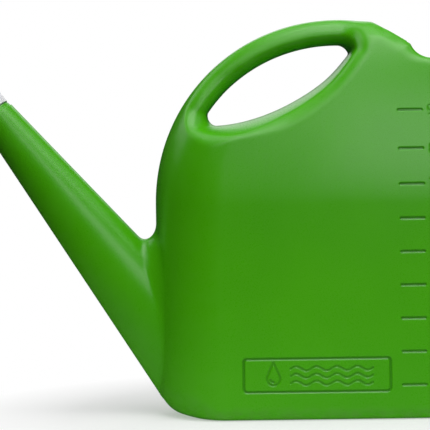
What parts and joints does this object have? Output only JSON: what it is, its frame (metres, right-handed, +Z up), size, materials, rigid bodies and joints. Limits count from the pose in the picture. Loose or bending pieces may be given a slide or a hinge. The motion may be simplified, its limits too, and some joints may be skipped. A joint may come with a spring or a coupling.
{
  "type": "watering can",
  "caption": "Hollow moulded garden watering can with a looped carrying grip, a long tapering spout, litre marks and a pull-off sprinkler rose.",
  "frame": {"origin": "centre of the tank's flat underside", "axes": "+Z up, +X towards the rear of the can with the spout towards -X, symmetric about Y = 0"},
  "size_m": [0.5402, 0.118, 0.35],
  "materials": {
    "green_moulding": "satin",
    "white_moulding": "satin",
    "seal_rubber": "matte"
  },
  "bodies": {
    "can": {"tank": "green_moulding", "grip": "green_moulding", "spout": "green_moulding"},
    "seal": {"rose_seal": "seal_rubber"},
    "rose": {"rose_body": "white_moulding", "rose_face": "white_moulding"}
  },
  "joints": [
    {"name": "rose_pull", "type": "slide", "parent": "can", "child": "seal", "axis": [-0.6157, 0, 0.788], "range_m": [0, 0.045]},
    {"name": "rose_turn", "type": "hinge", "parent": "seal", "child": "rose", "pos_m": [-0.3036, 0, 0.2687], "axis": [-0.6157, 0, 0.788], "continuous": true}
  ]
}
